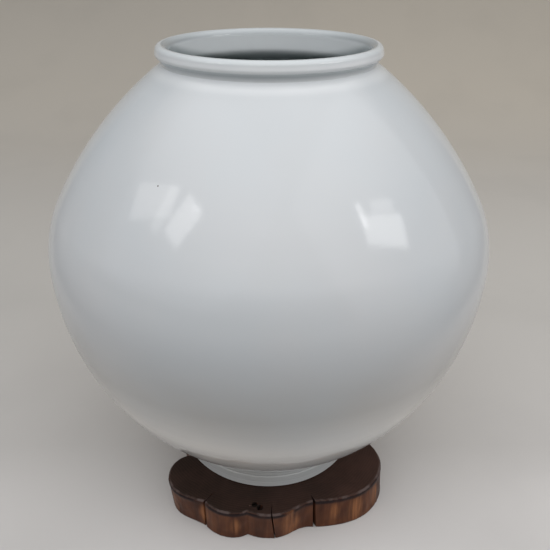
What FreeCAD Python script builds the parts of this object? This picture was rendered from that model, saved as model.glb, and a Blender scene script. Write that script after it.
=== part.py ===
import FreeCAD, Part
import math
import os

from FreeCAD import Vector

# A white porcelain moon jar on a live-edge wooden slab.
#
# The jar is built the way a potter builds one: two thrown bowls luted rim to
# rim at the belly, a thrown foot under the lower bowl and a rolled mouth on
# the upper one. Its foot stands loose on the slab.
#
# All sizes are in millimetres. Z is up, and the origin is on the floor, under
# the axis of the jar. Heights of the jar are counted from the face that its
# foot stands on, which is the top of the slab.

# ---- the whole jar ---------------------------------------------------------
JAR_HEIGHT = 430.0
BELLY_RADIUS = 209.0
WALL = 7.0

# ---- the luting seam at the belly ------------------------------------------
SEAM_HEIGHT = 243.0            # rim of the lower bowl
SEAM_THICKNESS = 2.0           # layer of slip between the two rims
SEAM_SQUEEZE = 1.2             # slip pressed out inside the jar

# ---- the foot --------------------------------------------------------------
FOOT_RADIUS = 98.0
FOOT_HEIGHT = 32.0
FOOT_RIM_WIDTH = 12.0          # flat ring that the jar stands on
FOOT_INNER_TAPER = 3.0         # the inner wall leans in towards the base
FOOT_EDGE = 1.2                # trimmed corner on both sides of the rim
FOOT_WAIST = 0.9               # how far the turned wall dips in
FOOT_WAIST_HALFWAY = 0.75      # share of that dip reached half way to the line
FOOT_LINE_HEIGHT = 14.6        # turning line round the foot
FOOT_LINE_WIDTH = 1.6
FOOT_LINE_DEPTH = 0.7

# ---- the floor of the lower bowl -------------------------------------------
FLOOR_THICKNESS = 12.0
FLOOR_INSET = 3.0              # the round of the inside ends this far within the foot
FLOOR_DISH = 3.0               # the middle of the floor lies lower
BASE_SAG = 3.0                 # the underside hangs down inside the foot

# ---- the shoulder ----------------------------------------------------------
BELLY_REACH = 29.7             # length of the straight that the tight belly round replaces
NECK_SLOPE = 54.0              # lean of the shoulder at the neck, degrees from upright

# ---- the mouth -------------------------------------------------------------
COLLAR_HEIGHT = 15.5
THROAT_RADIUS = 86.0
NECK_WALL = 7.0
NECK_HOLLOW = 0.7              # depth of the groove under the lip
LIP_ROUND = 4.5                # round from the crest to the outer face of the lip
LIP_FACE = 3.0                 # flat stretch of that face
LIP_LEAN = 12.0                # lean of the face, widest at its foot, degrees
LIP_UNDER_ROUND = 3.0          # round that curls under the lip
LIP_UNDERCUT = 72.0            # how far round it curls, degrees
LIP_INNER_ROUND = 6.5          # round from the crest into the throat

# ---- the wooden slab -------------------------------------------------------
SLAB_THICKNESS = 38.0
SLAB_TOP_ROUND = 3.0           # worn upper edge
SLAB_BOTTOM_ROUND = 1.5
ROUND_STEPS = 3                # flat steps that make up each worn edge

# The trunk's outline is a ring of lobes that meet in folds. Each lobe starts
# at a fold and lists the points of its back, on the upper face: a direction
# seen from the axis of the jar, in degrees from +X towards +Y, and how far
# the wood stands out beyond the foot. A lobe ends at the fold that starts the
# next one. The bark side isn't upright: by the floor it has drawn in.
LOBES = (
    {"draws_in": 4.0, "back": ((-146.0, 3.0), (-149.3, 16.0), (-146.5, 31.0),
                               (-134.4, 44.5), (-126.5, 41.5))},
    {"draws_in": 0.5, "back": ((-119.6, 36.5), (-113.5, 40.5), (-105.0, 39.0))},
    {"draws_in": 2.5, "back": ((-99.6, 33.5), (-92.0, 36.8), (-83.5, 35.6), (-76.5, 30.5))},
    {"draws_in": -2.5, "back": ((-67.8, 27.5), (-60.5, 34.0), (-43.5, 46.8),
                                (-24.4, 39.8), (-16.7, 24.8))},
    {"draws_in": 1.5, "back": ((-11.5, 9.0), (2.0, 21.0), (18.0, 25.0), (33.0, 19.0))},
    {"draws_in": -1.0, "back": ((42.0, 8.0), (55.0, 19.0), (72.0, 24.0), (88.0, 17.0))},
    {"draws_in": 2.0, "back": ((98.0, 6.0), (112.0, 19.0), (128.0, 25.0), (144.0, 17.0))},
    {"draws_in": 0.5, "back": ((155.0, 6.0), (168.0, 8.0), (184.0, 3.0), (199.0, 1.5))},
)

# Drying checks, each a narrow wedge right through the slab: where its mouth
# is (degrees, beyond the foot), the way it runs into the wood (degrees), its
# depth, the width of its mouth and how far its foot leans round the slab. The
# first and the last open in the folds on both sides of the front lobes.
DRYING_CHECKS = (
    {"mouth": LOBES[1]["back"][0], "runs": 50.0, "depth": 17.0, "width": 2.6, "lean": 0.5},
    {"mouth": (-88.6, 36.8), "runs": 91.0, "depth": 14.0, "width": 1.6, "lean": 3.8},
    {"mouth": LOBES[3]["back"][0], "runs": 108.0, "depth": 10.0, "width": 2.6, "lean": 1.0},
)
CHECK_OVERRUN = 3.0            # each wedge starts this far outside the wood

# ---- values that follow from those above -----------------------------------
UPPER_BOWL_BASE = SEAM_HEIGHT + SEAM_THICKNESS
COLLAR_BASE = JAR_HEIGHT - COLLAR_HEIGHT
NECK_RADIUS = THROAT_RADIUS + NECK_WALL
CREST_RADIUS = THROAT_RADIUS + LIP_INNER_ROUND
INNER_BELLY_RADIUS = BELLY_RADIUS - WALL
FLOOR_HEIGHT = FOOT_HEIGHT + FLOOR_THICKNESS
FOOT_RIM_INNER = FOOT_RADIUS - FOOT_RIM_WIDTH
FOOT_TOP_INNER = FOOT_RIM_INNER - FOOT_INNER_TAPER

UP = Vector(0, 0, 1)
ORIGIN = Vector(0, 0, 0)
FULL_TURN = 360.0
QUARTER_TURN = 90.0


def section_point(radius, height):
    """Return a point of a jar section, drawn in the XZ plane."""
    return Vector(radius, 0, height)


class Round:
    """A circular stretch of a jar's section, which may be set in by a wall."""

    def __init__(self, centre, radius, start_angle, end_angle):
        self.centre = centre
        self.radius = radius
        self.start_angle = start_angle
        self.end_angle = end_angle

    @classmethod
    def leaving(cls, start, heading, end):
        """Return the round that leaves start along heading and meets end."""
        chord = (end[0] - start[0], end[1] - start[1])
        length = math.hypot(*chord)
        turn = math.atan2(heading[0] * chord[1] - heading[1] * chord[0],
                          heading[0] * chord[0] + heading[1] * chord[1])
        side = math.copysign(1.0, turn)
        radius = length / (2 * math.sin(abs(turn)))
        centre = (start[0] - side * heading[1] * radius,
                  start[1] + side * heading[0] * radius)
        start_angle = math.atan2(start[1] - centre[1], start[0] - centre[0])
        return cls(centre, radius, start_angle, start_angle + 2 * turn)

    @classmethod
    def dish(cls, rim_radius, rim_height, depth):
        """Return the shallow round from the axis up to a rim, like a dish's."""
        radius = (rim_radius ** 2 + depth ** 2) / (2 * depth)
        centre = (0.0, rim_height - depth + radius)
        lowest = -math.pi / 2
        return cls(centre, radius, lowest, lowest + math.asin(rim_radius / radius))

    def point(self, angle):
        """Return the point of the round at an angle from its centre."""
        return (self.centre[0] + self.radius * math.cos(angle),
                self.centre[1] + self.radius * math.sin(angle))

    def heading_at_end(self):
        """Return the unit heading with which the round ends."""
        side = math.copysign(1.0, self.end_angle - self.start_angle)
        return (-side * math.sin(self.end_angle), side * math.cos(self.end_angle))

    def set_in(self, wall):
        """Return the concentric round one wall further in."""
        return Round(self.centre, self.radius - wall, self.start_angle, self.end_angle)

    def ended_at_radius(self, radius):
        """Return the round cut off where it reaches a radius of the jar."""
        end_angle = math.acos((radius - self.centre[0]) / self.radius)
        return Round(self.centre, self.radius, self.start_angle, end_angle)

    def start(self):
        """Return the first point of the round."""
        return self.point(self.start_angle)

    def end(self):
        """Return the last point of the round."""
        return self.point(self.end_angle)

    def edge(self):
        """Return the round as an edge in the section plane."""
        middle = self.point((self.start_angle + self.end_angle) / 2)
        return Part.Arc(section_point(*self.start()), section_point(*middle),
                        section_point(*self.end())).toShape()


def line(start, end):
    """Return a straight edge of a section, between (radius, height) pairs."""
    return Part.LineSegment(section_point(*start), section_point(*end)).toShape()


def arc(start, middle, end):
    """Return a round edge of a section through three (radius, height) pairs."""
    return Part.Arc(section_point(*start), section_point(*middle),
                    section_point(*end)).toShape()


def turned(edges):
    """Return the solid that a closed section makes when thrown on the wheel."""
    return Part.Face(Part.Wire(edges)).revolve(ORIGIN, UP, FULL_TURN)


def on_the_slab(jar_piece):
    """Return a piece of the jar moved up to where the jar stands."""
    jar_piece.translate(Vector(0, 0, SLAB_THICKNESS))
    return jar_piece


def make_foot_ring():
    """Return the turned foot, from the rim it stands on to the lower bowl."""
    rim_outer = (FOOT_RADIUS - FOOT_EDGE, 0)
    wall_start = (FOOT_RADIUS, FOOT_EDGE)
    line_low = (FOOT_RADIUS - FOOT_WAIST, FOOT_LINE_HEIGHT - FOOT_LINE_WIDTH / 2)
    line_bottom = (FOOT_RADIUS - FOOT_WAIST - FOOT_LINE_DEPTH, FOOT_LINE_HEIGHT)
    line_high = (FOOT_RADIUS - FOOT_WAIST, FOOT_LINE_HEIGHT + FOOT_LINE_WIDTH / 2)
    wall_end = (FOOT_RADIUS, FOOT_HEIGHT)
    inner_top = (FOOT_TOP_INNER, FOOT_HEIGHT)
    inner_low = (FOOT_RIM_INNER, FOOT_EDGE)
    rim_inner = (FOOT_RIM_INNER + FOOT_EDGE, 0)
    halfway = FOOT_RADIUS - FOOT_WAIST * FOOT_WAIST_HALFWAY
    waist_low = (halfway, (wall_start[1] + line_low[1]) / 2)
    waist_high = (halfway, (line_high[1] + wall_end[1]) / 2)
    return turned([
        line(rim_outer, wall_start),
        arc(wall_start, waist_low, line_low),
        line(line_low, line_bottom),
        line(line_bottom, line_high),
        arc(line_high, waist_high, wall_end),
        line(wall_end, inner_top),
        line(inner_top, inner_low),
        line(inner_low, rim_inner),
        line(rim_inner, rim_outer),
    ])


def make_lower_bowl():
    """Return the lower half of the jar, with a thick floor over the foot."""
    down = (0.0, -1.0)
    outside = Round.leaving((BELLY_RADIUS, SEAM_HEIGHT), down, (FOOT_RADIUS, FOOT_HEIGHT))
    floor = Round.dish(FOOT_RADIUS - FLOOR_INSET, FLOOR_HEIGHT, FLOOR_DISH)
    base = Round.dish(FOOT_TOP_INNER, FOOT_HEIGHT, BASE_SAG)
    inside = Round.leaving((INNER_BELLY_RADIUS, SEAM_HEIGHT), down, floor.end())
    return turned([
        outside.edge(),
        line(outside.end(), base.end()),
        base.edge(),
        line(base.start(), floor.start()),
        floor.edge(),
        inside.edge(),
        line(inside.start(), outside.start()),
    ])


def make_belly_seam():
    """Return the band of slip that joins the rims of the two bowls."""
    ridge = INNER_BELLY_RADIUS - SEAM_SQUEEZE
    middle = SEAM_HEIGHT + SEAM_THICKNESS / 2
    return turned([
        line((BELLY_RADIUS, SEAM_HEIGHT), (BELLY_RADIUS, UPPER_BOWL_BASE)),
        line((BELLY_RADIUS, UPPER_BOWL_BASE), (INNER_BELLY_RADIUS, UPPER_BOWL_BASE)),
        arc((INNER_BELLY_RADIUS, UPPER_BOWL_BASE), (ridge, middle),
            (INNER_BELLY_RADIUS, SEAM_HEIGHT)),
        line((INNER_BELLY_RADIUS, SEAM_HEIGHT), (BELLY_RADIUS, SEAM_HEIGHT)),
    ])


def shoulder_rounds():
    """Return the tight round of the belly and the long one of the shoulder.

    They leave the seam upright, touch each other without a corner and reach
    the neck at its slope.
    """
    start = (BELLY_RADIUS, UPPER_BOWL_BASE)
    end = (NECK_RADIUS, COLLAR_BASE)
    up = (0.0, 1.0)
    slope = math.radians(NECK_SLOPE)
    end_heading = (-math.sin(slope), math.cos(slope))
    across = (end[0] - start[0], end[1] - start[1])
    span = across[0] ** 2 + across[1] ** 2
    along_start = across[0] * up[0] + across[1] * up[1]
    along_end = across[0] * end_heading[0] + across[1] * end_heading[1]
    spread = 1 - (up[0] * end_heading[0] + up[1] * end_heading[1])
    neck_reach = (span - 2 * BELLY_REACH * along_start) / (2 * (along_end + BELLY_REACH * spread))
    belly_knee = (start[0] + BELLY_REACH * up[0], start[1] + BELLY_REACH * up[1])
    neck_knee = (end[0] - neck_reach * end_heading[0], end[1] - neck_reach * end_heading[1])
    share = BELLY_REACH / (BELLY_REACH + neck_reach)
    joint = (belly_knee[0] + share * (neck_knee[0] - belly_knee[0]),
             belly_knee[1] + share * (neck_knee[1] - belly_knee[1]))
    belly_round = Round.leaving(start, up, joint)
    return belly_round, Round.leaving(joint, belly_round.heading_at_end(), end)


def make_upper_bowl():
    """Return the upper half of the jar, open at the throat."""
    belly_round, shoulder_round = shoulder_rounds()
    inner_belly = belly_round.set_in(WALL)
    inner_shoulder = shoulder_round.set_in(WALL).ended_at_radius(THROAT_RADIUS)
    throat_top = (THROAT_RADIUS, COLLAR_BASE)
    return turned([
        belly_round.edge(),
        shoulder_round.edge(),
        line(shoulder_round.end(), throat_top),
        line(throat_top, inner_shoulder.end()),
        inner_shoulder.edge(),
        inner_belly.edge(),
        line(inner_belly.start(), belly_round.start()),
    ])


def make_mouth_rim():
    """Return the short neck and the rolled lip of the mouth."""
    lean = math.radians(LIP_LEAN)
    brow = Round((CREST_RADIUS, JAR_HEIGHT - LIP_ROUND), LIP_ROUND, lean, math.pi / 2)
    face_top = brow.start()
    face_foot = (face_top[0] + LIP_FACE * math.sin(lean),
                 face_top[1] - LIP_FACE * math.cos(lean))
    roll = Round((face_foot[0] - LIP_UNDER_ROUND * math.cos(lean),
                  face_foot[1] - LIP_UNDER_ROUND * math.sin(lean)),
                 LIP_UNDER_ROUND, -math.radians(LIP_UNDERCUT), lean)
    inner_round = Round((CREST_RADIUS, JAR_HEIGHT - LIP_INNER_ROUND), LIP_INNER_ROUND,
                        math.pi / 2, math.pi)
    neck_base = (NECK_RADIUS, COLLAR_BASE)
    roll_start = roll.start()
    hollow = ((neck_base[0] + roll_start[0]) / 2 - NECK_HOLLOW,
              (neck_base[1] + roll_start[1]) / 2)
    throat_base = (THROAT_RADIUS, COLLAR_BASE)
    return turned([
        arc(neck_base, hollow, roll_start),
        roll.edge(),
        line(roll.end(), face_top),
        brow.edge(),
        inner_round.edge(),
        line(inner_round.end(), throat_base),
        line(throat_base, neck_base),
    ])


def beyond_foot(direction, distance):
    """Return a point of the slab's plan, by direction and reach past the foot."""
    angle = math.radians(direction)
    reach = FOOT_RADIUS + distance
    return Vector(reach * math.cos(angle), reach * math.sin(angle), 0)


def slab_outline(height, inset):
    """Return the closed outline of the slab at a height, drawn in by an inset.

    The back of each lobe is one smooth curve, from its fold to the next one.
    """
    depth_share = 1 - height / SLAB_THICKNESS
    rings = [[beyond_foot(direction, distance - inset - lobe["draws_in"] * depth_share)
              for direction, distance in lobe["back"]] for lobe in LOBES]
    backs = []
    for ring, next_ring in zip(rings, rings[1:] + rings[:1]):
        back = Part.BSplineCurve()
        back.interpolate(ring + next_ring[:1])
        backs.append(back.toShape())
    outline = Part.Wire(backs)
    outline.translate(UP * height)
    return outline


def worn_edge(radius):
    """Return how far a rounded edge has sunk and drawn in, from side to face."""
    steps = [math.radians(QUARTER_TURN * step / ROUND_STEPS) for step in range(ROUND_STEPS + 1)]
    return [(radius * (1 - math.sin(angle)), radius * (1 - math.cos(angle)))
            for angle in steps]


def check_wedge(check):
    """Return the wedge of air that a drying check leaves in the slab."""
    runs = math.radians(check["runs"])
    inward = Vector(math.cos(runs), math.sin(runs), 0)
    across = Vector(-inward.y, inward.x, 0)
    mouth = beyond_foot(*check["mouth"])
    widening = (check["depth"] + CHECK_OVERRUN) / check["depth"]
    half_width = across * (check["width"] / 2 * widening)
    outer = mouth - inward * CHECK_OVERRUN
    tip = mouth + inward * check["depth"]
    top = Part.makePolygon([outer + half_width, tip, outer - half_width, outer + half_width])
    top.translate(Vector(0, 0, SLAB_THICKNESS))
    foot = Part.makePolygon([outer + half_width, tip, outer - half_width, outer + half_width])
    foot.translate(across * -check["lean"])
    return Part.makeLoft([foot, top], True, True)


def make_slab():
    """Return the cross-cut slab with its folds, worn edges and checks."""
    lower = [slab_outline(sunk, inset) for sunk, inset in reversed(worn_edge(SLAB_BOTTOM_ROUND))]
    upper = [slab_outline(SLAB_THICKNESS - sunk, inset)
             for sunk, inset in worn_edge(SLAB_TOP_ROUND)]
    slab = Part.makeLoft(lower + upper, True, True)
    for check in DRYING_CHECKS:
        slab = slab.cut(check_wedge(check))
    return slab


NODES = {
    "wooden_slab": make_slab,
    "foot_ring": lambda: on_the_slab(make_foot_ring()),
    "lower_bowl": lambda: on_the_slab(make_lower_bowl()),
    "belly_seam": lambda: on_the_slab(make_belly_seam()),
    "upper_bowl": lambda: on_the_slab(make_upper_bowl()),
    "mouth_rim": lambda: on_the_slab(make_mouth_rim()),
}

os.makedirs("parts", exist_ok=True)
for name, make in NODES.items():
    shape = make()
    if not shape.isValid():
        raise ValueError("the solid of " + name + " is not valid")
    shape.exportStep("parts/" + name + ".step")
    box = shape.BoundBox
    print("%s: %d solid, %.1f cm3, x %.1f to %.1f, y %.1f to %.1f, z %.1f to %.1f" % (
        name, len(shape.Solids), shape.Volume / 1000,
        box.XMin, box.XMax, box.YMin, box.YMax, box.ZMin, box.ZMax))
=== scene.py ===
"""Looks of a white porcelain moon jar that stands on a live-edge wooden slab.

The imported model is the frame. Each of its solids is replaced by a piece that is
modelled afresh here, on the same sizes, with a finish of its own. Sizes of the
pieces and their finishes are millimetres, as a maker would write them; sizes of
the studio, and all meshes, are metres. The jar is thrown section by section on
the wheel, and the slab is drawn from the outline of its trunk.
"""

import logging
import math
from collections.abc import Mapping, Sequence
from dataclasses import dataclass, field
from enum import Enum
from typing import Any, ClassVar

import bpy
from mathutils import Euler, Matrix, Quaternion, Vector, noise


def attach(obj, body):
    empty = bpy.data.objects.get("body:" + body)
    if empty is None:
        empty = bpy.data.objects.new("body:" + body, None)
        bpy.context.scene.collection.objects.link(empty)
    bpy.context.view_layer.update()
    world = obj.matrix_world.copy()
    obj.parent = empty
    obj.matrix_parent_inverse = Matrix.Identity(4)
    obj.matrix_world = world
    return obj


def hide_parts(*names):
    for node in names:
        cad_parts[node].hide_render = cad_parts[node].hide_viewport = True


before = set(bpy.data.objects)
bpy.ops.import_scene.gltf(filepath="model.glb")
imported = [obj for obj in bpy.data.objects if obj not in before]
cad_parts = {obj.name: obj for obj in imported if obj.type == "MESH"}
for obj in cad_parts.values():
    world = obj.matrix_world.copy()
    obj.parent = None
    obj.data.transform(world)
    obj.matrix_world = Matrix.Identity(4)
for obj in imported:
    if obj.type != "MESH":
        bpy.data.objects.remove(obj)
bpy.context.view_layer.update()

log = logging.getLogger("moon_jar")

Socket = bpy.types.NodeSocket
Colour = tuple[float, float, float]
Place = tuple[float, float, float]
Span = tuple[float, float]
Grain = tuple[float, float]
Stops = Sequence[tuple[float, Colour]]
SectionPoint = tuple[float, float]

MM = 0.001
MERGE_DISTANCE = 2e-6
LEVEL_TOLERANCE = 1e-5
SLAB_THICKNESS = 38.0
UP: SectionPoint = (0.0, 1.0)
DOWN: SectionPoint = (0.0, -1.0)


class Body(Enum):
    """The two bodies of the frame that come apart."""

    STAND = "stand"
    JAR = "jar"


class Slot(Enum):
    """The two material slots of the record."""

    WHITE_GLAZE = "white_glaze"
    DARK_WOOD = "dark_wood"


def mm(*lengths: float) -> tuple[float, ...]:
    """Return millimetres as metres."""
    return tuple(length * MM for length in lengths)


def shares(count: int) -> list[float]:
    """Return evenly spaced shares from 0 to 1, both among them."""
    return [step / count for step in range(count + 1)]


# ---- shader maths -------------------------------------------------------------


class Level:
    """A number in a shader, such as a mask, that Python expressions can use."""

    def __init__(self, shader: "Shader", socket: Socket) -> None:
        """Wrap a socket of a shader's nodes."""
        self.shader = shader
        self.socket = socket

    def _math(self, operation: str, *terms: Any) -> "Level":
        """Return the result of a Math node on the given terms."""
        sockets = dict(enumerate(terms))
        made = self.shader.node("ShaderNodeMath", {"operation": operation}, sockets)
        return Level(self.shader, made.outputs[0])

    def __add__(self, other: Any) -> "Level":
        """Return self + other."""
        return self._math("ADD", self, other)

    def __radd__(self, other: Any) -> "Level":
        """Return other + self."""
        return self._math("ADD", other, self)

    def __sub__(self, other: Any) -> "Level":
        """Return self - other."""
        return self._math("SUBTRACT", self, other)

    def __rsub__(self, other: Any) -> "Level":
        """Return other - self."""
        return self._math("SUBTRACT", other, self)

    def __mul__(self, other: Any) -> "Level":
        """Return self * other."""
        return self._math("MULTIPLY", self, other)

    def __rmul__(self, other: Any) -> "Level":
        """Return other * self."""
        return self._math("MULTIPLY", other, self)

    def __truediv__(self, other: Any) -> "Level":
        """Return self / other."""
        return self._math("DIVIDE", self, other)

    def __rtruediv__(self, other: Any) -> "Level":
        """Return other / self."""
        return self._math("DIVIDE", other, self)

    def __abs__(self) -> "Level":
        """Return the size of the number without its sign."""
        return self._math("ABSOLUTE", self)

    def root(self) -> "Level":
        """Return the square root."""
        return self._math("SQRT", self)

    def sine(self) -> "Level":
        """Return the sine of the number."""
        return self._math("SINE", self)

    def rise(self, low: float, high: float) -> "Level":
        """Return a soft step that is 0 at low and 1 at high."""
        settings = {"interpolation_type": "SMOOTHSTEP"}
        sockets = {"Value": self, "From Min": low, "From Max": high}
        made = self.shader.node("ShaderNodeMapRange", settings, sockets)
        return Level(self.shader, made.outputs["Result"])

    def fall(self, low: float, high: float) -> "Level":
        """Return a soft step that is 1 at low and 0 at high."""
        return 1 - self.rise(low, high)


@dataclass(frozen=True)
class Spot:
    """A round mark in a finish: its middle and its radius, in millimetres."""

    x: float
    y: float
    z: float
    radius: float


class Shader:
    """The node tree of one finish or sky, with one way to add any node."""

    def __init__(self, owner: bpy.types.Material | bpy.types.World) -> None:
        """Start with an empty tree on a new material or world."""
        self.owner = owner
        owner.use_nodes = True
        self.tree = owner.node_tree
        self.tree.nodes.clear()

    def node(
        self, kind: str, settings: Mapping[str, Any], sockets: Mapping[Any, Any]
    ) -> bpy.types.Node:
        """Add a node.

        Args:
            kind: the node's type.
            settings: its own properties, such as a Math node's operation, or
                "stops" for the places and colours of a ramp.
            sockets: a value, a socket or a Level for each input by name or index.

        Returns:
            The new node.
        """
        made = self.tree.nodes.new(kind)
        for key, value in settings.items():
            if key == "stops":
                self._place_stops(made.color_ramp, value)
            else:
                setattr(made, key, value)
        for key, value in sockets.items():
            socket = made.inputs[key]
            if isinstance(value, Level):
                value = value.socket
            if isinstance(value, Socket):
                self.tree.links.new(value, socket)
            else:
                socket.default_value = (*value, 1.0) if socket.type == "RGBA" else value
        return made

    @staticmethod
    def _place_stops(ramp: bpy.types.ColorRamp, stops: Stops) -> None:
        """Set a ramp's stops.

        Args:
            ramp: the ramp, with its first two stops.
            stops: the place from 0 to 1 and the colour of each.
        """
        while len(ramp.elements) < len(stops):
            ramp.elements.new(1.0)
        for element, (place, colour) in zip(ramp.elements, stops):
            element.position = place
            element.color = (*colour, 1.0)

    def parts(self, vector: Socket) -> tuple[Level, Level, Level]:
        """Return the three numbers of a vector."""
        made = self.node("ShaderNodeSeparateXYZ", {}, {0: vector})
        return tuple(Level(self, out) for out in made.outputs)

    def vector_math(self, operation: str, first: Socket, second: Place) -> bpy.types.Node:
        """Return a Vector Math node on a vector and three numbers."""
        return self.node("ShaderNodeVectorMath", {"operation": operation}, {0: first, 1: second})

    def away_from(self, vector: Socket, point: Place) -> Level:
        """Return the distance from a point."""
        return Level(self, self.vector_math("DISTANCE", vector, point).outputs["Value"])

    def grain(self, vector: Socket, scale: float, detail: float) -> Level:
        """Return cloudy noise from about 0.2 to 0.8."""
        sockets = {"Vector": vector, "Scale": scale, "Detail": detail}
        return Level(self, self.node("ShaderNodeTexNoise", {}, sockets).outputs["Fac"])

    def blend(self, share: Any, first: Any, second: Any) -> Socket:
        """Return the colour between two colours."""
        sockets = {0: share, 6: first, 7: second}
        return self.node("ShaderNodeMix", {"data_type": "RGBA"}, sockets).outputs[2]

    def ramp(self, level: Level, stops: Stops) -> Socket:
        """Return the colour of a ramp at a level from 0 to 1."""
        return self.node("ShaderNodeValToRGB", {"stops": stops}, {0: level}).outputs[0]

    def tones(self, level: Level, stops: Stops, unit: float = 1.0) -> Socket:
        """Return the tone at a height or a depth.

        Args:
            level: the height or depth, in metres.
            stops: places along it, with the tone at each.
            unit: the unit of those places, in metres.

        Returns:
            The tone, which stays the same beyond the first and the last place.
        """
        first, last = stops[0][0], stops[-1][0]
        placed = [((at - first) / (last - first), tone) for at, tone in stops]
        return self.ramp((level - first * unit) / ((last - first) * unit), placed)

    def shine(self, strength: Level, colour: Colour) -> bpy.types.World:
        """Close the world with a light of that strength and colour."""
        light = self.node("ShaderNodeBackground", {}, {"Color": colour, "Strength": strength})
        self.node("ShaderNodeOutputWorld", {}, {"Surface": light.outputs[0]})
        return self.owner


class Coat(Shader):
    """The node tree of a finish, with the point and the normal of its surface."""

    def __init__(self, name: str) -> None:
        """Start a new material of that name."""
        super().__init__(bpy.data.materials.new(name))
        surface = self.node("ShaderNodeTexCoord", {}, {}).outputs
        self.place = surface["Object"]
        self.x, self.y, self.height = self.parts(self.place)
        self.turn = self.parts(surface["Normal"])

    def upright(self, share: float) -> Socket:
        """Return the point with a share of its height, so that patterns run upright."""
        return self.vector_math("MULTIPLY", self.place, (1.0, 1.0, share)).outputs[0]

    def spots(self, marks: Sequence[Spot], core: float, share: float = 1.0) -> Level:
        """Return the mask of some round marks.

        Args:
            marks: the marks.
            core: the part of each radius inside which the mask is 1.
            share: the share of its height that a mark keeps, below 1 for tall ones.

        Returns:
            The mask, 0 outside all marks.
        """
        vector = self.upright(share)
        return sum(
            self.away_from(vector, mm(mark.x, mark.y, mark.z * share)).fall(
                *mm(mark.radius * core, mark.radius)
            )
            for mark in marks
        )

    def relief(self, height: Level) -> Socket:
        """Return the normal that a height, in metres, gives the surface."""
        sockets = {"Height": height, "Distance": 1.0}
        return self.node("ShaderNodeBump", {}, sockets).outputs["Normal"]

    def finish(self, **sockets: Any) -> bpy.types.Material:
        """Close the material with a Principled surface.

        Args:
            **sockets: values or links by socket name, with _ for each space.

        Returns:
            The finished material.
        """
        named = {key.replace("_", " "): value for key, value in sockets.items()}
        surface = self.node("ShaderNodeBsdfPrincipled", {}, named)
        self.node("ShaderNodeOutputMaterial", {}, {"Surface": surface.outputs[0]})
        return self.owner


# ---- finishes -----------------------------------------------------------------


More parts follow.
